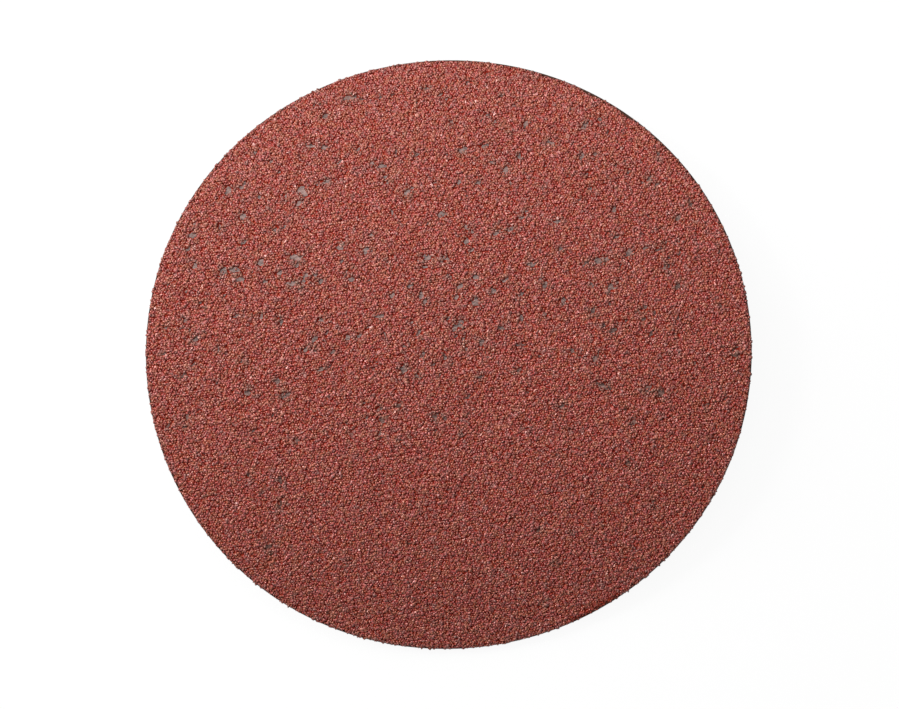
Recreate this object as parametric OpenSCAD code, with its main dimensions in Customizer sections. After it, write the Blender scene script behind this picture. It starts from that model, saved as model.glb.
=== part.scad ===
// A round sanding disc with a hook and loop back. It has taken a slight curl and lies grit side
// up: the middle stands highest and the sheet comes down to the floor at the front and back edge.
// X runs along the straight lines of the curl, and the origin is on the floor under the middle.

/* [Disc] */
// Diameter of the disc, measured when it is pressed flat
disc_d = 125; // [75:1:180]
// Radius that the backing paper has curled to
curl_r = 230; // [150:5:600]
// Straight cuts that make up the edge
edge_cuts = 180; // [90:10:240]

/* [Layers] */
// Grit coat, from the paper to the grain tips
grit_t = 0.6; // [0.3:0.05:1.2]
// Resin that is left where the grit has a bare spot
film_t = 0.15; // [0.05:0.05:0.25]
// Backing paper
paper_t = 0.4; // [0.2:0.05:0.8]
// Loop fabric, from the paper to the crowns of the loops
loop_t = 0.9; // [0.6:0.1:2]

/* [Loop rows] */
// Distance from one row of loops to the next
row_pitch = 2.5; // [1.5:0.1:5]
// Width of the furrow between two rows
furrow_w = 0.9; // [0.4:0.1:1.2]
// Depth of the furrow
furrow_depth = 0.3; // [0.1:0.05:0.5]

/* [Bare spots in the grit] */
// Small bare spots, besides the large ones that are listed below
small_spots = 72; // [0:4:120]
// Mean width of a small bare spot
small_spot_w = 1.1; // [0.5:0.1:1.6]
// Grit that stays between a bare spot and the edge
spot_margin = 1.2; // [0.5:0.1:4]
// Grit that stays between a small bare spot and a large one
spot_gap = 3; // [2:0.5:6]

/* [Worn edge] */
// Length of the stretch of edge that is rubbed down
worn_l = 13; // [4:1:30]
// How far the rubbing reaches in from the edge
worn_w = 2; // [0.5:0.1:4]
// Grit that is gone at the very edge
worn_depth = 0.35; // [0.1:0.05:0.5]
// Where the rubbed stretch is, as an angle from the X axis
worn_angle = -68; // [-180:1:180]

/* [Hidden] */

// The large bare spots: place of the middle, length, width and turn. They are read in axes that
// are turned from the curl's own by spot_axes_turn.
spot_axes_turn = -7.2;
LARGE_SPOTS = [
    [-54, 27.5, 1.7, 1, 35], [-59.5, 14, 1.6, 1, 60], [-54.5, 6.5, 1.6, 1.1, 20],
    [-31.5, 18, 1.9, 1, 40], [-30, 33, 1.6, 1.3, 80], [-37, 40, 1.6, 0.9, 20],
    [-38, 14.5, 1.5, 1.3, 0], [-14.5, 7.5, 2.4, 1.3, 10], [-26.5, 6.5, 1.6, 1.2, 0],
    [-6.5, 4, 2.2, 1, 55], [-13.5, 36.5, 1.7, 1, 45], [0.5, 48.5, 1.6, 1.3, 160],
    [-29.5, 43.5, 1.7, 0.9, 130], [-21, 3, 1.6, 1.2, 80], [3, 42.5, 3, 1.4, 20],
    [2, 35.5, 1.4, 1.3, 0], [6, 35.5, 1.7, 1.3, 60], [5.5, 15.5, 1.7, 1.3, 10],
    [10.5, 5, 2.2, 1.2, 170], [14.5, 1.5, 2.4, 0.9, 0], [30.5, 41.5, 1.6, 1.3, 45],
    [31.5, 49, 1.6, 1.2, 120], [43.5, 41.5, 1.7, 1, 30], [43, 35, 2, 1, 15],
    [47.5, 28, 1.8, 1.4, 60], [50, 31, 2.4, 0.9, 100], [23.5, 10.5, 2.2, 1.2, 85],
    [29.5, 8.5, 1.9, 1.3, 70], [29.5, 14, 1.7, 1.2, 110], [15, 28, 1.9, 1, 25],
    [40.5, 21.5, 1.8, 1, 20], [3.5, 26, 1.8, 1, 130], [14.5, 41, 2.3, 1, 110],
    [-35.5, -6, 1.9, 1.5, 20], [-26.5, -3.5, 2.4, 1, 15], [-54.5, -15.5, 2, 0.8, 5],
    [-14, -14, 2, 1.4, 150], [-1, -1, 2, 1.1, 100], [-6.5, -5, 1.8, 1.1, 150],
    [-35, -31.5, 2.9, 1.2, 70], [-21, -43.5, 1.8, 1.1, 145], [32, -7, 4.2, 1.4, 155],
    [23, -11, 2, 1.5, 135], [6.5, -5, 2.1, 1.3, 15], [30, -1.5, 1.9, 1.4, 80],
    [2.5, -17, 1.6, 1.2, 0], [37, -23, 1.5, 1.3, 30], [18.5, -37, 1.7, 1.2, 40],
];

// Chips out of the edge, where a few grains broke away: angle from the X axis, width and depth
EDGE_CHIPS = [[-1, 1, 0.5], [-10, 0.8, 0.4], [-93, 0.8, 0.3]];

disc_r = disc_d / 2;
paper_in_r = curl_r - paper_t / 2;
paper_out_r = curl_r + paper_t / 2;
film_r = paper_out_r + film_t;
grit_r = paper_out_r + grit_t;
loop_in_r = paper_in_r - loop_t;
sheet_t = grit_t + paper_t + loop_t;

// A tube is longer than the disc, and a cutter reaches this far past what it cuts
spare = 1;
tube_l = disc_d + 2 * spare;
tube_fn = 240;
golden_angle = 137.508;
spot_seed = 36;

// Arc length along the curl, turned into the angle about the curl's axis
function curl_angle(arc) = arc / curl_r * 180 / PI;

// The disc's edge seen from above, for a layer whose middle has the radius layer_r
function edge_outline(layer_r) = [
    for (i = [0 : edge_cuts - 1])
        let (a = 360 * i / edge_cuts)
            [disc_r * cos(a), layer_r * sin(curl_angle(disc_r * sin(a)))]
];

// The lowest points of the loops, below the curl's axis, are at the front and back edge
edge_y = (loop_in_r + paper_in_r) / 2 * sin(curl_angle(disc_r));
floor_z = sqrt(pow(loop_in_r, 2) - pow(edge_y, 2));

function turned(p, a) = [p.x * cos(a) - p.y * sin(a), p.x * sin(a) + p.y * cos(a)];

large_spots = [
    for (s = LARGE_SPOTS)
        let (p = turned([s[0], s[1]], spot_axes_turn))
            if (norm(p) + s[2] / 2 + spot_margin < disc_r)
                [p.x, p.y, s[2], s[3], s[4] + spot_axes_turn]
];

// The small spots follow a sunflower spiral, each moved a little from its place there
spiral_spots = [
    for (i = [0 : 1 : small_spots - 1])
        let (
            draw = rands(-1, 1, 5, spot_seed + i),
            r = disc_r * sqrt((i + 0.5) / small_spots) + 2 * draw[0],
            a = golden_angle * i + 6 * draw[1]
        )
            [r * cos(a), r * sin(a), small_spot_w * (1 + 0.25 * draw[2]),
             small_spot_w * (0.75 + 0.15 * draw[3]), 180 * draw[4]]
];
function far_from_large(s) =
    min([for (big = large_spots) norm([s.x - big.x, s.y - big.y])]) > spot_gap;
small_bare_spots = [
    for (s = spiral_spots)
        if (norm([s.x, s.y]) + s[2] / 2 + spot_margin < disc_r && far_from_large(s)) s
];

// An angular patch with six uneven corners
function patch(length, width, seed) =
    let (draw = rands(0.8, 1.15, 6, seed))
        [for (k = [0 : 5]) draw[k] * [length / 2 * cos(60 * k), width / 2 * sin(60 * k)]];

// Puts a cutter on the sheet: x along the curl's straight lines, arc along the curl, z outward
module on_sheet(x, arc) {
    rotate([-curl_angle(arc), 0, 0])
        translate([x, 0, 0])
            children();
}

module bare_spots() {
    spots = concat(large_spots, small_bare_spots);
    for (i = [0 : 1 : len(spots) - 1])
        on_sheet(spots[i].x, spots[i].y)
            translate([0, 0, film_r])
                rotate(spots[i][4])
                    linear_extrude(grit_t + spare)
                        polygon(patch(spots[i][2], spots[i][3], spot_seed + i));
}

// A V-shaped cut through the whole sheet for each chip
module edge_chips() {
    for (chip = EDGE_CHIPS)
        on_sheet(disc_r * cos(chip[0]), disc_r * sin(chip[0]))
            translate([0, 0, loop_in_r - spare])
                rotate(chip[0])
                    linear_extrude(sheet_t + 2 * spare)
                        polygon([[-chip[2], 0], [chip[2], -chip[1]], [chip[2], chip[1]]]);
}

// Takes the grit down in a slope towards the edge
module worn_stretch() {
    inner_r = disc_r - worn_w;
    on_sheet(inner_r * cos(worn_angle), inner_r * sin(worn_angle))
        translate([0, 0, grit_r])
            rotate(worn_angle)
                rotate([0, atan(worn_depth / worn_w), 0])
                    translate([0, -worn_l / 2, 0])
                        cube([worn_w + 2 * spare, worn_l, grit_t + spare]);
}

// One layer of the curled disc, between two radii about the curl's axis
module curled_layer(in_r, out_r) {
    intersection() {
        rotate([0, 90, 0])
            difference() {
                cylinder(r = out_r, h = tube_l, center = true, $fn = tube_fn);
                cylinder(r = in_r, h = tube_l + 2 * spare, center = true, $fn = tube_fn);
            }
        linear_extrude(grit_r + spare)
            polygon(edge_outline((in_r + out_r) / 2));
    }
}

// Grains in a hard resin coat, with bare spots where the resin shows
module abrasive_coat() {
    color("#8f4b41")
        translate([0, 0, -floor_z])
            difference() {
                curled_layer(paper_out_r, grit_r);
                bare_spots();
                worn_stretch();
                edge_chips();
            }
}

// Heavy paper that carries the grit
module backing_paper() {
    color("#8a6f57")
        translate([0, 0, -floor_z])
            difference() {
                curled_layer(paper_in_r, paper_out_r);
                edge_chips();
            }
}

// Knitted fabric whose loops stand in rows, with a furrow between two rows
module loop_fabric() {
    rows = ceil(disc_r / row_pitch);
    groove_r = (pow(furrow_w / 2, 2) + pow(furrow_depth, 2)) / (2 * furrow_depth);
    color("#d9d4c8")
        translate([0, 0, -floor_z])
            difference() {
                curled_layer(loop_in_r, paper_in_r);
                for (i = [-rows : rows - 1])
                    on_sheet(0, (i + 0.5) * row_pitch)
                        translate([0, 0, loop_in_r + furrow_depth - groove_r])
                            rotate([0, 90, 0])
                                cylinder(r = groove_r, h = tube_l, center = true, $fn = 24);
                edge_chips();
            }
}

abrasive_coat();
backing_paper();
loop_fabric();
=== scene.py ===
import math
import bpy
import numpy as np
from mathutils import Matrix, Vector
from mathutils.bvhtree import BVHTree


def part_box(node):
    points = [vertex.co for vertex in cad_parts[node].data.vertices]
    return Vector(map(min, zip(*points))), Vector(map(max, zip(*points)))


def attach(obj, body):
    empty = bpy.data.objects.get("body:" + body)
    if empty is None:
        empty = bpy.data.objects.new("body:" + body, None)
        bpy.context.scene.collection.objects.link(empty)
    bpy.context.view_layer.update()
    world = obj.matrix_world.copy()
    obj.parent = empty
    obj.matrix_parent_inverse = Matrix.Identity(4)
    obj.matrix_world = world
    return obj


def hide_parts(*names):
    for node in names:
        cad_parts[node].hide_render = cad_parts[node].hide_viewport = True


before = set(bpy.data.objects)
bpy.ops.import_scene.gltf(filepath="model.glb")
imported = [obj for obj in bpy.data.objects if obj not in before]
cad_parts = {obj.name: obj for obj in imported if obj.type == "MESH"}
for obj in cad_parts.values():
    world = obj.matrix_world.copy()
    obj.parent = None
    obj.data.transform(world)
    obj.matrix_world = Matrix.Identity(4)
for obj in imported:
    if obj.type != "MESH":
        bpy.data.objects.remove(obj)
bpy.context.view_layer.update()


# Backing paper
# The heavy paper that carries the grit, dark at its cut edge where resin has soaked in. It is the CAD
# node itself. The finished disc has curled about one axis, and the paper's box gives that curl: new
# pieces are modelled flat, at a height above the middle of the paper, and then take the same curl.
MM = 0.001
PULP_DARK = (0.085, 0.05, 0.035)
PULP_LIGHT = (0.2, 0.13, 0.09)
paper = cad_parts["backing_paper"]
paper_low, paper_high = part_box("backing_paper")
loops_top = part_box("loop_fabric")[1].z
disc_r = paper_high.x
paper_t = paper_high.z - loops_top
paper_sag = loops_top - paper_low.z
curl_r = (paper_high.y ** 2 + paper_sag ** 2) / (2 * paper_sag) + paper_t / 2
curl_axis_z = loops_top + paper_t / 2 - curl_r


def curled(points):
    """Points of the flat sheet, as rows of x, y and height, taken to where the curl brings them."""
    x, y, height = np.moveaxis(np.asarray(points, float), -1, 0)
    radius = curl_r + height
    angle = y / curl_r
    return np.stack([x, radius * np.sin(angle), curl_axis_z + radius * np.cos(angle)], -1)


class Wire:
    """A socket of a material. Python's operators on it add Math nodes."""

    def __init__(self, tree, socket=None):
        self.tree = tree
        self.socket = socket

    def node(self, kind, settings=None, output=0, **inputs):
        """Adds a node, with its settings set first, and gives the wire of its output."""
        made = self.tree.nodes.new("ShaderNode" + kind)
        for name, value in (settings or {}).items():
            if name == "stops":
                ramp = made.color_ramp
                while len(ramp.elements) < len(value):
                    ramp.elements.new(0.5)
                for element, (place, colour) in zip(ramp.elements, value):
                    element.position = place
                    element.color = (*colour, 1)
            else:
                setattr(made, name, value)
        for name, value in inputs.items():
            key = int(name[1:]) if name[1:].isdigit() else name.replace("_", " ")
            if isinstance(value, Wire):
                self.tree.links.new(value.socket, made.inputs[key])
            else:
                made.inputs[key].default_value = value
        return Wire(self.tree, made.outputs[output] if made.outputs else None)

    def ramp(self, *stops):
        """Turns this value into a colour, by stops of a place and a colour."""
        return self.node("ValToRGB", {"stops": stops}, Fac=self)

    def blend(self, share, over):
        """Goes from this colour to another, by a share from 0 to 1."""
        over = over if isinstance(over, Wire) else (*over, 1)
        return self.node("Mix", {"data_type": "RGBA"}, output=2, i0=share, i6=self, i7=over)

    def math(self, operation, first, second=0.0):
        return self.node("Math", {"operation": operation}, i0=first, i1=second)

    def __add__(self, other):
        return self.math("ADD", self, other)

    def __sub__(self, other):
        return self.math("SUBTRACT", self, other)

    def __rsub__(self, other):
        return self.math("SUBTRACT", other, self)

    def __mul__(self, other):
        return self.math("MULTIPLY", self, other)

    __radd__ = __add__
    __rmul__ = __mul__


def new_finish(name, *pieces):
    """An empty material on these pieces, as a wire to build on."""
    finish = bpy.data.materials.new(name)
    finish.use_nodes = True
    finish.node_tree.nodes.clear()
    for piece in pieces:
        piece.data.materials.clear()
        piece.data.materials.append(finish)
    return Wire(finish.node_tree)


def coat_with(wire, **inputs):
    """Closes a material with a Principled shader of these inputs."""
    shader = wire.node("BsdfPrincipled", **inputs)
    wire.node("OutputMaterial", Surface=shader)


wire = new_finish("kraft_paper", paper)
place = wire.node("TexCoord", output="Object")
strata = wire.node("Mapping", Vector=place, Scale=(500, 500, 4500))
plies = wire.node("TexNoise", Vector=strata, Scale=1.0, Detail=3.0, Roughness=0.6)
fibres = wire.node("TexNoise", Vector=place, Scale=2500.0, Detail=2.0)
pulp = plies.ramp((0.3, PULP_DARK), (0.7, PULP_LIGHT))
relief = wire.node("Bump", Strength=0.5, Distance=0.05 * MM, Height=plies + fibres * 0.5)
coat_with(wire, Base_Color=pulp, Roughness=0.85, Normal=relief)


# Make coat
# The hard resin that the paper is coated with and the grains are set in. It is brushed on wet and
# baked, so it flows out smooth. Between the grains it is stained by the size coat that runs over them.
RESIN_T = 0.2 * MM
RESIN_WAVE = 0.02 * MM
STAIN_DARK = (0.19, 0.014, 0.006)
STAIN_LIGHT = (0.3, 0.025, 0.012)
RIM_SHADE_BROWN = (0.06, 0.032, 0.022)
RIM_SHADE_BAND = (1.3 * MM, 0.7 * MM)
SOFT_CORNER = math.radians(50)


def flat_sheet(name, cells, low, high):
    """A round slab of the flat sheet between two heights, cut to the disc's edge."""
    bpy.ops.object.select_all(action="DESELECT")
    bpy.ops.mesh.primitive_grid_add(x_subdivisions=cells, y_subdivisions=cells, size=2)
    sheet = bpy.context.active_object
    sheet.name = name
    for v in sheet.data.vertices:
        u, w = v.co.x, v.co.y
        v.co = (disc_r * u * math.sqrt(1 - w * w / 2), disc_r * w * math.sqrt(1 - u * u / 2), high)
    wall = sheet.modifiers.new("wall", "SOLIDIFY")
    wall.thickness = high - low
    wall.offset = -1
    bpy.ops.object.modifier_apply(modifier="wall")
    return sheet


def curl(piece):
    """Curls a flat piece with the paper."""
    flat = np.empty(len(piece.data.vertices) * 3)
    piece.data.vertices.foreach_get("co", flat)
    piece.data.vertices.foreach_set("co", curled(flat.reshape(-1, 3)).ravel())
    piece.data.update()


resin = flat_sheet("make_coat", 100, paper_t / 2, paper_t / 2 + RESIN_T)
draw = np.random.default_rng(7)
for v in resin.data.vertices:
    if v.co.z > paper_t / 2 + RESIN_T / 2:
        v.co.z += draw.uniform(-RESIN_WAVE, RESIN_WAVE)
curl(resin)
bpy.ops.object.shade_smooth_by_angle(angle=SOFT_CORNER)

wire = new_finish("stained_resin", resin)
place = wire.node("TexCoord", output="Object")
mottle = wire.node("TexNoise", Vector=place, Scale=1500.0, Detail=2.0)
stain = mottle.ramp((0.3, STAIN_DARK), (0.7, STAIN_LIGHT))
# Near the edge the resin turns dark brown: painted shade, standing in for the shaded sides of the grains at
# the rim
level = wire.node("VectorMath", {"operation": "MULTIPLY"}, i0=place, i1=(1, 1, 0))
away = wire.node("VectorMath", {"operation": "LENGTH"}, output="Value", i0=level)
rim_shade = wire.node("MapRange", Value=away, From_Min=disc_r - RIM_SHADE_BAND[0], From_Max=disc_r - RIM_SHADE_BAND[1])
stain = stain.blend(rim_shade, RIM_SHADE_BROWN)
coat_with(wire, Base_Color=stain, Roughness=0.8, Specular_IOR_Level=0.2, Specular_Tint=(1, 0.5, 0.42, 1))
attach(resin, "root")
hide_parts("abrasive_coat")


# Bare spots
# Where grains broke away or never landed, the make coat lies bare: smooth, dark grey resin that
# mirrors the light. The larger spots are where the CAD coat is low, and small flecks lie between them.
SPOT_CELLS = 400
SPOT_LIFT = 0.05 * MM
SPOT_T = 0.04 * MM
SPOT_MARGIN = 1.2 * MM
LOW_SHARE = 0.5
FLECKS = 255
FLECK_BAND = (18 * MM, 20 * MM)
FLECK_REACH = 0.9
FLECK_LENGTH = (0.9 * MM, 2.2 * MM)
FLECK_SLIM = (0.35, 0.75)
FLECK_TURN = (0.6, 0.5)
THIN_STEPS = 14
LOOK_UP = 3 * MM
BAKED_DARK = (0.085, 0.037, 0.028)
BAKED_LIGHT = (0.32, 0.17, 0.14)
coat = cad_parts["abrasive_coat"]
coat_tree = BVHTree.FromPolygons(
    [v.co for v in coat.data.vertices], [p.vertices for p in coat.data.polygons])


def coat_heights(places):
    """How high the modelled grit stands above the paper at places of the flat sheet."""
    above = curled(np.column_stack([places, np.full(len(places), paper_t / 2 + LOOK_UP)]))
    below = curled(np.column_stack([places, np.zeros(len(places))]))
    down = (below - above) / np.linalg.norm(below - above, axis=1, keepdims=True)
    depths = [coat_tree.ray_cast(Vector(a), Vector(d))[3] for a, d in zip(above, down)]
    return np.array([0.0 if depth is None else LOOK_UP - depth for depth in depths])


# A map of the sheet in square cells, true where the coat is low or a fleck lies
cell = 2 * disc_r / SPOT_CELLS
axis = (np.arange(SPOT_CELLS) + 0.5) * cell - disc_r
cell_x, cell_y = np.meshgrid(axis, axis)
cells = np.column_stack([cell_x.ravel(), cell_y.ravel()])
inside = np.hypot(*cells.T) < disc_r - SPOT_MARGIN
heights = np.zeros(len(cells))
heights[inside] = coat_heights(cells[inside])
full_height = np.median(heights[inside])
low = (inside & (heights < LOW_SHARE * full_height)).reshape(SPOT_CELLS, SPOT_CELLS)
draw = np.random.default_rng(5)
for k in range(FLECKS):
    y = np.clip(draw.normal(*FLECK_BAND), -FLECK_REACH * disc_r, FLECK_REACH * disc_r)
    x = draw.uniform(-1, 1) * math.sqrt((disc_r - 2 * SPOT_MARGIN) ** 2 - y * y)
    slant = draw.normal(*FLECK_TURN)
    x, y = cell_x - x, cell_y - y
    length = draw.uniform(*FLECK_LENGTH)
    width = length * draw.uniform(*FLECK_SLIM)
    along = x * math.cos(slant) + y * math.sin(slant)
    across = y * math.cos(slant) - x * math.sin(slant)
    low |= (2 * along / length) ** 2 + (2 * across / width) ** 2 < 1

# The same map, spread a little past each spot
neighbours = ((0, 0), (1, 0), (-1, 0), (1, 1), (-1, 1))
near_low = low.astype(float)
for k in range(THIN_STEPS):
    near_low = sum(np.roll(near_low, *step) for step in neighbours) / len(neighbours)


def at_cells(grid, places):
    """What a grid of cells holds at places of the flat sheet."""
    column, row = np.clip(((np.asarray(places) + disc_r) / cell).astype(int), 0, SPOT_CELLS - 1).T
    return grid[row, column]


bpy.ops.object.select_all(action="DESELECT")
bpy.ops.mesh.primitive_grid_add(x_subdivisions=SPOT_CELLS, y_subdivisions=SPOT_CELLS, size=2 * disc_r)
bare = bpy.context.active_object
bare.name = "bare_spots"
bpy.ops.object.mode_set(mode="EDIT")
bpy.context.tool_settings.mesh_select_mode = (False, False, True)
bpy.ops.object.mode_set(mode="OBJECT")
middles = np.empty(len(bare.data.polygons) * 3)
bare.data.polygons.foreach_get("center", middles)
bare.data.polygons.foreach_set("select", ~at_cells(low, middles.reshape(-1, 3)[:, :2]))
bpy.ops.object.mode_set(mode="EDIT")
bpy.ops.mesh.delete(type="FACE")
bpy.ops.mesh.select_all(action="SELECT")
bpy.ops.mesh.vertices_smooth(factor=0.5, repeat=2)
bpy.ops.object.mode_set(mode="OBJECT")
for v in bare.data.vertices:
    v.co.z = paper_t / 2 + RESIN_T + SPOT_LIFT
wall = bare.modifiers.new("wall", "SOLIDIFY")
wall.thickness = SPOT_LIFT + SPOT_T
wall.offset = -1
bpy.ops.object.modifier_apply(modifier="wall")
curl(bare)
bpy.ops.object.shade_smooth_by_angle(angle=SOFT_CORNER)

wire = new_finish("baked_resin", bare)
place = wire.node("TexCoord", output="Object")
mottle = wire.node("TexNoise", Vector=place, Scale=1300.0, Detail=3.0, Roughness=0.6)
brushed = wire.node("Mapping", Vector=place, Rotation=(0, 0, -0.6), Scale=(700, 2600, 1500))
streaks = wire.node("TexNoise", Vector=brushed, Scale=1.0, Detail=2.0)
grey = (mottle * 0.3 + streaks * 0.7).ramp((0.38, BAKED_DARK), (0.62, BAKED_LIGHT))
relief = wire.node("Bump", Strength=0.8, Distance=0.12 * MM, Height=streaks)
coat_with(wire, Base_Color=grey, Roughness=0.2 + mottle * 0.16, Normal=relief, IOR=1.58)
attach(bare, "root")
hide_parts("abrasive_coat")


# Grit
# Crushed aluminium oxide, dropped on the wet resin and sized with a red brown top coat. The grains
# are sieved to one grade, so they are alike in size and differ in shape, turn and depth in the resin.
# They are sorted into four pieces by size. The disc is die-cut, which shears the grains at its edge.
GRAIN_PITCH = 0.54 * MM
GRAIN_SIZE = 0.27 * MM
GRAIN_SHAPES = 24
GRAIN_JITTER = 0.22
SIZE_SPREAD = 0.11
CORNER_SHIFT = 0.9
GRAIN_STRETCH = ((1.0, 0.8, 0.65), (1.3, 1.05, 0.95))
TIP_ROOM = 0.07 * MM
FRESH_GRAINS = 0.1
EDGE_GAP = 0.1 * MM
EDGE_ROOM = (-0.15 * MM, 0.35 * MM)
RIM_BARE = 0.7 * MM
RIM_FROM, RIM_TO = math.radians(20), math.radians(95)
RIM_WAVES = 41
RIM_MEAN, RIM_SWING = 0.55, 0.45
RIM_DULL = 0.8 * MM
THIN_SLOPE = 3
THIN_RANGE = (0.3, 1)
STRAY_BAND = (-25 * MM, 0)
STRAY_GRAINS = (0.4, 0.12)
STRAY_SIZE = 0.6
SUNK = 0.06 * MM
FLATTENED = 0.85
TOP_COAT = (
    (0.34, (0.315, 0.042, 0.026)),
    (0.5, (0.385, 0.096, 0.076)),
    (0.64, (0.45, 0.178, 0.156)),
)
GRAIN_HUES = (
    (0.1, (0.26, 0.17, 0.15)),
    (0.25, (0.43, 0.06, 0.085)),
    (0.55, (0.41, 0.105, 0.085)),
    (0.85, (0.43, 0.17, 0.09)),
)
BARE_GRAIN = (0.21, 0.13, 0.1)
POOLED_RED_AND_SHADE = (0.46, 0.035, 0.012)
POOLED_SHADE_BAND = (0.72 * MM, 0.48 * MM)
EDGE_DARK_BROWN = (0.1, 0.045, 0.036)
WARM_GLOSS = (1, 0.6, 0.53, 1)
draw = np.random.default_rng(36)


def crushed_grain(seed):
    """One grain of unit size: a block whose corners are moved at random. Gives its points and faces."""
    bpy.ops.object.select_all(action="DESELECT")
    bpy.ops.mesh.primitive_cube_add(size=2)
    grain = bpy.context.active_object
    bpy.ops.object.mode_set(mode="EDIT")
    bpy.ops.mesh.select_all(action="SELECT")
    bpy.ops.transform.vertex_random(offset=CORNER_SHIFT, seed=seed)
    bpy.ops.mesh.convex_hull(use_existing_faces=False, join_triangles=False)
    bpy.ops.mesh.select_all(action="SELECT")
    bpy.ops.mesh.quads_convert_to_tris()
    bpy.ops.object.mode_set(mode="OBJECT")
    points = np.array([v.co for v in grain.data.vertices])
    faces = np.array([p.vertices for p in grain.data.polygons])
    bpy.data.objects.remove(grain)
    points -= points.mean(0)
    return points * math.sqrt(3) / np.linalg.norm(points, axis=1).mean(), faces


def random_turns(count):
    """Rotation matrices with no direction preferred."""
    q = draw.normal(size=(count, 4))
    w, x, y, z = (q / np.linalg.norm(q, axis=1, keepdims=True)).T
    return np.stack([
        1 - 2 * (y * y + z * z), 2 * (x * y - w * z), 2 * (x * z + w * y),
        2 * (x * y + w * z), 1 - 2 * (x * x + z * z), 2 * (y * z - w * x),
        2 * (x * z - w * y), 2 * (y * z + w * x), 1 - 2 * (x * x + y * y),
    ], -1).reshape(count, 3, 3)


def many(name, bodies, flat=0, **looks):
    """One curled mesh of many bodies, each with points, faces, flat or rounded faces and its looks."""
    points = np.concatenate([body for body, faces in bodies])
    counts = [len(body) for body, faces in bodies]
    starts = np.cumsum([0] + counts[:-1])
    all_faces = np.concatenate([faces + start for (body, faces), start in zip(bodies, starts)])
    mesh = bpy.data.meshes.new(name)
    mesh.from_pydata(curled(points).tolist(), [], all_faces.tolist())
    rounded = np.broadcast_to(flat, len(bodies)) < 0.5
    mesh.polygons.foreach_set("use_smooth", np.repeat(rounded, [len(faces) for body, faces in bodies]))
    for look, values in looks.items():
        attribute = mesh.attributes.new(look, "FLOAT", "POINT")
        attribute.data.foreach_set("value", np.repeat(values, counts).astype(np.float32))
    corners = np.empty(len(mesh.loops), np.int32)
    mesh.loops.foreach_get("vertex_index", corners)
    flat_map = mesh.uv_layers.new(name="OFBake")
    seen_flat = 0.5 + 0.49 * points[corners, :2] / disc_r
    flat_map.uv.foreach_set("vector", seen_flat.astype(np.float32).ravel())
    piece = bpy.data.objects.new(name, mesh)
    bpy.context.scene.collection.objects.link(piece)
    return piece


# The grains lie in close rows, each moved at random from its place
rows = int(disc_r / GRAIN_PITCH) + 2
lanes = int(rows * 1.2)
i, j = np.meshgrid(np.arange(-rows, rows + 1), np.arange(-lanes, lanes + 1))
places = np.stack([(i + 0.5 * (j % 2)) * GRAIN_PITCH, j * GRAIN_PITCH * math.sqrt(0.75)], -1).reshape(-1, 2)
places += draw.uniform(-GRAIN_JITTER, GRAIN_JITTER, places.shape) * GRAIN_PITCH
places = places[np.hypot(*places.T) < disc_r - EDGE_GAP]
sizes = GRAIN_SIZE * np.exp(draw.normal(0, SIZE_SPREAD, len(places)))

# A bare spot holds a few small stray grains, which stand as high as the others
sizes[at_cells(low, places)] *= STRAY_SIZE
strays = np.interp(places[:, 1], STRAY_BAND, STRAY_GRAINS)
kept = ~at_cells(low, places) | (draw.uniform(0, 1, len(places)) < strays)
places, sizes = places[kept], sizes[kept]
tops = coat_heights(places)
tops[(tops < LOW_SHARE * full_height) & (np.hypot(*places.T) < disc_r - 2 * SPOT_MARGIN)] = full_height
turns = random_turns(len(places))
stretch = draw.uniform(*GRAIN_STRETCH, (len(places), 3))
rise = draw.uniform(-TIP_ROOM, TIP_ROOM, len(places))
tones = draw.uniform(0, 1, len(places))

# A few grains have broken afresh and have flat faces that glint. Next to a bare spot the top coat is
# thin, and the grains are darker brown towards the edge.
fresh = (draw.uniform(0, 1, len(places)) < FRESH_GRAINS).astype(float)
thins = np.clip(THIN_SLOPE * at_cells(near_low, places), 0, 1) * draw.uniform(*THIN_RANGE, len(places))
dulls = np.clip(1 - (disc_r - np.hypot(*places.T)) / RIM_DULL, 0, 1)
shape_of = draw.integers(0, GRAIN_SHAPES, len(places))
shapes = [crushed_grain(k) for k in range(GRAIN_SHAPES)]


def seated_grain(g):
    """A grain in its place: its tip near the height of the coat, its foot in the resin."""
    shape, faces = shapes[shape_of[g]]
    body = (shape * stretch[g] * sizes[g]) @ turns[g].T * (1, 1, FLATTENED)
    lift = min(tops[g] + rise[g] - body[:, 2].max(), RESIN_T - SUNK - body[:, 2].min())
    body += (*places[g], lift)
    body[:, 2] = np.clip(body[:, 2], 0, tops[g] + TIP_ROOM) + paper_t / 2
    round_rim = math.atan2(places[g][1], places[g][0])
    worn = max(0.0, math.sin(math.pi * np.clip((round_rim - RIM_FROM) / (RIM_TO - RIM_FROM), 0, 1)))
    lost = RIM_BARE * worn * (RIM_MEAN + RIM_SWING * math.sin(RIM_WAVES * round_rim))
    edge = disc_r + draw.uniform(*EDGE_ROOM) - lost
    body[:, :2] *= np.minimum(1, edge / np.hypot(body[:, 0], body[:, 1]))[:, None]
    return body, faces


grades = ("grit_fine", "grit_medium", "grit_coarse", "grit_largest")
grit = [
    many(
        name, [seated_grain(g) for g in part], flat=fresh[part],
        tone=tones[part], fresh=fresh[part], thin=thins[part], dull=dulls[part])
    for name, part in zip(grades, np.array_split(np.argsort(sizes), len(grades)))
]
wire = new_finish("sized_grit", *grit)
place = wire.node("TexCoord", output="Object")
tone = wire.node("Attribute", {"attribute_name": "tone"}, output="Fac")
thin = wire.node("Attribute", {"attribute_name": "thin"}, output="Fac")
glint = wire.node("Attribute", {"attribute_name": "fresh"}, output="Fac")
dull = wire.node("Attribute", {"attribute_name": "dull"}, output="Fac")
stain = wire.node("TexNoise", Vector=place, Scale=2300.0, Detail=1.0)
facets = wire.node("TexVoronoi", Vector=place, Scale=3400.0)
patchy = wire.node("TexNoise", Vector=place, Scale=420.0, Detail=2.0)
size_coat = stain.ramp(*TOP_COAT)

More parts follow.
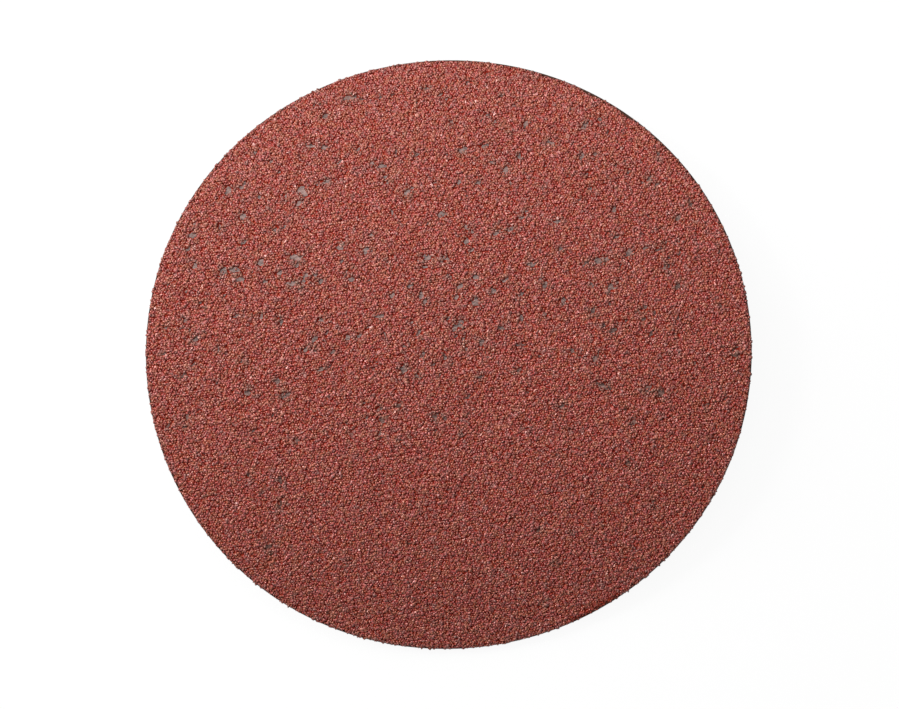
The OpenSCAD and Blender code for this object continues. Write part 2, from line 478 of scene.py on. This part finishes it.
# Each grain has a hue of its own, and the hue drifts over the disc
drift = wire.node("TexNoise", Vector=place, Scale=800.0, Detail=1.0)
hue = (tone * 0.8 + drift * 2.4 - 1.05).ramp(*GRAIN_HUES)
size_coat = size_coat.blend(0.42, hue)

# Where the top coat is thin, the grain's own greyish brown shows
thinned = patchy.ramp((0.62, (0, 0, 0)), (0.74, (0.5, 0.5, 0.5)))
size_coat = size_coat.blend(thin * 0.95 + thinned, BARE_GRAIN)

# Low between the grains the top coat pools and is redder, and this deep red is also painted shade for the
# gaps
from_axis = wire.node("VectorMath", {"operation": "SUBTRACT"}, i0=place, i1=(0, 0, curl_axis_z))
from_axis = wire.node("VectorMath", {"operation": "MULTIPLY"}, i0=from_axis, i1=(0, 1, 1))
height = wire.node("VectorMath", {"operation": "LENGTH"}, output="Value", i0=from_axis) - curl_r
pool_and_shade = wire.node(
    "MapRange", Value=height, From_Min=POOLED_SHADE_BAND[0], From_Max=POOLED_SHADE_BAND[1], To_Min=0.0, To_Max=0.8)
size_coat = size_coat.blend(pool_and_shade, POOLED_RED_AND_SHADE)
# Towards the edge the grains are darker brown
size_coat = size_coat.blend(dull * 0.6, EDGE_DARK_BROWN)
relief = wire.node("Bump", Strength=0.8, Distance=0.065 * MM, Height=stain + facets)
coat_with(
    wire, Base_Color=size_coat, Roughness=0.2 + stain * 0.1, Normal=relief, IOR=1.68,
    Specular_Tint=WARM_GLOSS, Coat_Weight=glint * 0.4, Coat_Roughness=0.2)
for piece in grit:
    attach(piece, "root")
    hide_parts("abrasive_coat")


# Loop fabric
# Knitted nylon, stuck to the paper. A close ground holds rows of yarn loops that stand out of it and
# catch the hooks of a pad. The ground is one sheet, die-cut with the paper.
GROUND_T = 0.35 * MM
GROUND_SHADE = (0.3, 0.28, 0.23)
GROUND_LIGHT = (0.6, 0.57, 0.5)
ground = flat_sheet("knit_ground", 80, -paper_t / 2 - GROUND_T, -paper_t / 2)
curl(ground)
bpy.ops.object.shade_smooth_by_angle(angle=SOFT_CORNER)

ROW_PITCH = 2.5 * MM
LINE_PLACES = (-0.75 * MM, 0.0, 0.75 * MM)
LINE_HEIGHTS = (0.78 * MM, 0.9 * MM, 0.78 * MM)
LOOP_STEP = 1.02 * MM
LOOP_WIDTH = 0.9 * MM
YARN_R = 0.1 * MM
LOOP_LEAN = 0.25
LEAN_SPREAD = 0.3
LOOP_TURN = 0.6
STEP_SPREAD = 0.15
LINE_SPREAD = 0.08 * MM
TALL_SPREAD = (0.9, 1.0)
LOOP_EDGE = 0.2 * MM
YARN_SHADE = (0.6, 0.57, 0.5)
YARN_LIGHT = (0.82, 0.8, 0.74)


def yarn_loop():
    """One loop of unit height that hangs from the ground: half a ring of yarn. Gives points and faces."""
    bpy.ops.object.select_all(action="DESELECT")
    bpy.ops.mesh.primitive_torus_add(
        major_segments=8, minor_segments=3, major_radius=1, minor_radius=2 * YARN_R / LOOP_WIDTH,
        rotation=(math.pi / 2, 0, 0)
    )
    loop = bpy.context.active_object
    bpy.ops.object.transform_apply(location=True, rotation=True, scale=True)
    bpy.ops.object.mode_set(mode="EDIT")
    bpy.ops.mesh.select_all(action="SELECT")
    bpy.ops.mesh.bisect(plane_co=(0, 0, 0.05), plane_no=(0, 0, 1), use_fill=True, clear_outer=True)
    bpy.ops.mesh.select_all(action="SELECT")
    bpy.ops.mesh.quads_convert_to_tris()
    bpy.ops.object.mode_set(mode="OBJECT")
    points = np.array([v.co for v in loop.data.vertices])
    faces = np.array([p.vertices for p in loop.data.polygons])
    bpy.data.objects.remove(loop)
    points[:, 2] /= -points[:, 2].min()
    return points, faces


draw = np.random.default_rng(11)
loop_points, loop_faces = yarn_loop()
reach = int(disc_r / ROW_PITCH) + 1
lines = [[], [], []]
for row in range(-reach, reach + 1):
    for line, (offset, tall) in enumerate(zip(LINE_PLACES, LINE_HEIGHTS)):
        for x in np.arange(-disc_r, disc_r, LOOP_STEP):
            x += LOOP_STEP * (0.5 * (line % 2) + draw.uniform(-STEP_SPREAD, STEP_SPREAD))
            y = row * ROW_PITCH + offset + draw.uniform(-LINE_SPREAD, LINE_SPREAD)
            if math.hypot(x, y) < disc_r - LOOP_EDGE:
                lines[line].append((x, y, tall * draw.uniform(*TALL_SPREAD)))


def standing_loop(x, y, tall):
    """A loop in its place, leaning and turned a little out of its row."""
    body = loop_points * (LOOP_WIDTH / 2, LOOP_WIDTH / 2, tall - GROUND_T)
    turn = draw.uniform(-LOOP_TURN, LOOP_TURN)
    c, s = math.cos(turn), math.sin(turn)
    lean = LOOP_LEAN + draw.uniform(-LEAN_SPREAD, LEAN_SPREAD)
    side, depth = body[:, 0], body[:, 1] + lean * body[:, 2]
    level = body[:, 2] - GROUND_T - paper_t / 2
    body = np.column_stack([x + c * side - s * depth, y + s * side + c * depth, level])
    body[:, :2] *= np.minimum(1, disc_r / np.hypot(body[:, 0], body[:, 1]))[:, None]
    return body, loop_faces


pile = [
    many(name, [standing_loop(*spot) for spot in line], tone=draw.uniform(0, 1, len(line)))
    for name, line in zip(("loops_front", "loops_middle", "loops_rear"), lines)
]
wire = new_finish("knitted_nylon", ground)
place = wire.node("TexCoord", output="Object")
fuzz = wire.node("TexNoise", Vector=place, Scale=3000.0, Detail=3.0)
courses, wales = [
    wire.node("TexWave", {"bands_direction": way}, Vector=place, Scale=620.0, Distortion=2.0, Detail=1.0)
    for way in "XY"
]
knit = courses * 0.35 + wales * 0.35 + fuzz * 0.5
yarn = knit.ramp((0.3, GROUND_SHADE), (0.8, GROUND_LIGHT))
relief = wire.node("Bump", Strength=0.8, Distance=0.12 * MM, Height=knit)
coat_with(wire, Base_Color=yarn, Roughness=0.9, Normal=relief)

wire = new_finish("loop_yarn", *pile)
tone = wire.node("Attribute", {"attribute_name": "tone"}, output="Fac")
place = wire.node("TexCoord", output="Object")
strands = wire.node("TexNoise", Vector=place, Scale=7000.0, Detail=2.0)
yarn = (tone * 0.5 + strands * 0.5).ramp((0.2, YARN_SHADE), (0.8, YARN_LIGHT))
relief = wire.node("Bump", Strength=0.7, Distance=0.04 * MM, Height=strands)
coat_with(wire, Base_Color=yarn, Roughness=0.6, Sheen_Weight=0.3, Normal=relief)
for piece in (ground, *pile):
    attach(piece, "root")
    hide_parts("loop_fabric")


# Floor
# A plain white table that only takes the disc's soft shadow, with a low white wall around it. The
# camera and whatever mirrors them see both as white, and the disc gets no other light from them than
# what they pass on.
FLOOR_WIDTH = 30
WALL_R = 3
WALL_HEIGHT = 1.2
bpy.ops.object.select_all(action="DESELECT")
bpy.ops.mesh.primitive_plane_add(size=FLOOR_WIDTH)
floor = bpy.context.active_object
floor.name = "floor"
bpy.ops.mesh.primitive_cylinder_add(vertices=96, radius=WALL_R, depth=WALL_HEIGHT, end_fill_type="NOTHING")
backdrop = bpy.context.active_object
backdrop.name = "backdrop"
wire = new_finish("white_table", floor, backdrop)
seen = (
    wire.node("LightPath", output="Is Camera Ray") + wire.node("LightPath", output="Is Glossy Ray")
    + wire.node("LightPath", output="Is Transmission Ray"))
lit = wire.node("BsdfDiffuse", Color=(0.8, 0.8, 0.8, 1))
white = wire.node("Emission", Color=(1, 1, 1, 1), Strength=1.04)
surface = wire.node("MixShader", i0=seen * 0.9, i1=lit, i2=white)
wire.node("OutputMaterial", Surface=surface)

world = bpy.data.worlds.new("studio")
world.use_nodes = True
world.node_tree.nodes.clear()
sky = Wire(world.node_tree)
glow = sky.node("Background", Color=(1, 1, 1, 1), Strength=0.08)
sky.node("OutputWorld", Surface=glow)
bpy.context.scene.world = world
bpy.context.scene.view_settings.view_transform = "Standard"


# Light
# A small soft box hangs close over the far half, so that the smooth resin mirrors it there and stays
# dark on the near half. A wide one stands low behind to the left and shades the grains, and a small
# one beside it gives the fresh grains their glint.
def soft_box(name, azimuth, elevation, distance, width, height, power):
    """A lamp that faces the disc, from angles in degrees, a distance and sizes in metres, and watts."""
    a, e = math.radians(azimuth), math.radians(elevation)
    place = Vector((math.cos(a) * math.cos(e), math.sin(a) * math.cos(e), math.sin(e))) * distance
    lamp = bpy.data.lights.new(name, "AREA")
    lamp.shape = "RECTANGLE"
    lamp.size, lamp.size_y = width, height
    lamp.energy = power
    stand = bpy.data.objects.new(name, lamp)
    stand.location = place
    stand.rotation_euler = (-place).to_track_quat("-Z", "Y").to_euler()
    bpy.context.scene.collection.objects.link(stand)


soft_box("overhead", azimuth=98, elevation=66, distance=0.28, width=0.17, height=0.22, power=0.314)
soft_box("key", azimuth=138, elevation=25, distance=1.1, width=0.82, height=0.82, power=14.9)
soft_box("spark", azimuth=150, elevation=38, distance=0.8, width=0.1, height=0.1, power=1.25)


# Camera
# It looks almost straight down from a little under half a metre, turned a little against the curl.
CAMERA_TURN = 7.23
CAMERA_LEAN = (-0.0283, -0.0238)
CAMERA_AIM = (-0.15 * MM, -0.43 * MM, 10.3 * MM)
CAMERA_DISTANCE = 7 * disc_r
FOCAL_LENGTH = 85.05
lens = bpy.data.cameras.new("camera")
lens.sensor_width = 36
lens.lens = FOCAL_LENGTH
lens.clip_start = 0.01
camera = bpy.data.objects.new("camera", lens)
back = Vector((*CAMERA_LEAN, 1)).normalized()
turn = math.radians(CAMERA_TURN)
side = Vector((math.sin(turn), math.cos(turn), 0)).cross(back).normalized()
camera.matrix_world = Matrix((side, back.cross(side), back)).transposed().to_4x4()
camera.location = Vector(CAMERA_AIM) + CAMERA_DISTANCE * back
bpy.context.scene.collection.objects.link(camera)
bpy.context.scene.camera = camera
